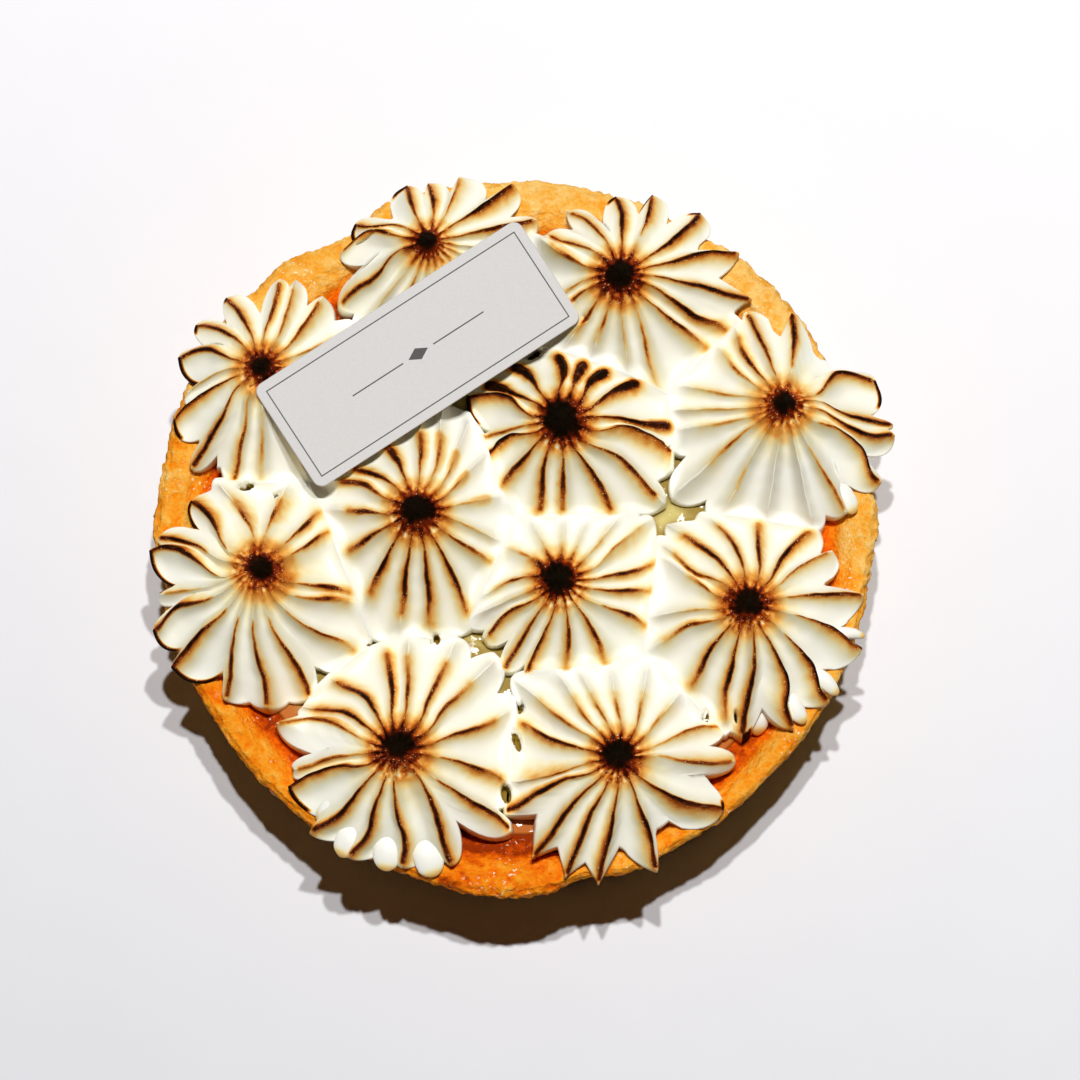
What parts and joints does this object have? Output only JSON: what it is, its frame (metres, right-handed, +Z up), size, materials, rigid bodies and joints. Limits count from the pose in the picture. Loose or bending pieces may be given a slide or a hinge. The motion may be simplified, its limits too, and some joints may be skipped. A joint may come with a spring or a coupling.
{
  "type": "lemon meringue pie",
  "caption": "Small round lemon meringue pie: a shortcrust case of set lemon curd under torched, star-piped meringue rosettes, with a bare label card lying on them.",
  "frame": {"origin": "centre of the pie's flat base, on the surface it stands on", "axes": "+Z up, +Y to the back of the pie, where the label card lies, +X to its right"},
  "size_m": [0.1298, 0.1281, 0.0382],
  "materials": {
    "shortcrust": "matte, crumbly, golden brown",
    "lemon_curd": "glossy, wet, translucent yellow",
    "meringue": "satin white, with torched brown and black ridges",
    "card": "smooth matte white card"
  },
  "bodies": {
    "root": {"crust": "shortcrust", "lemon_curd": "lemon_curd", "rosette_01": "meringue", "rosette_02": "meringue", "rosette_03": "meringue", "rosette_04": "meringue", "rosette_05": "meringue", "rosette_06": "meringue", "rosette_07": "meringue", "rosette_08": "meringue", "rosette_09": "meringue", "rosette_10": "meringue", "rosette_11": "meringue", "label_card": "card"}
  },
  "joints": []
}
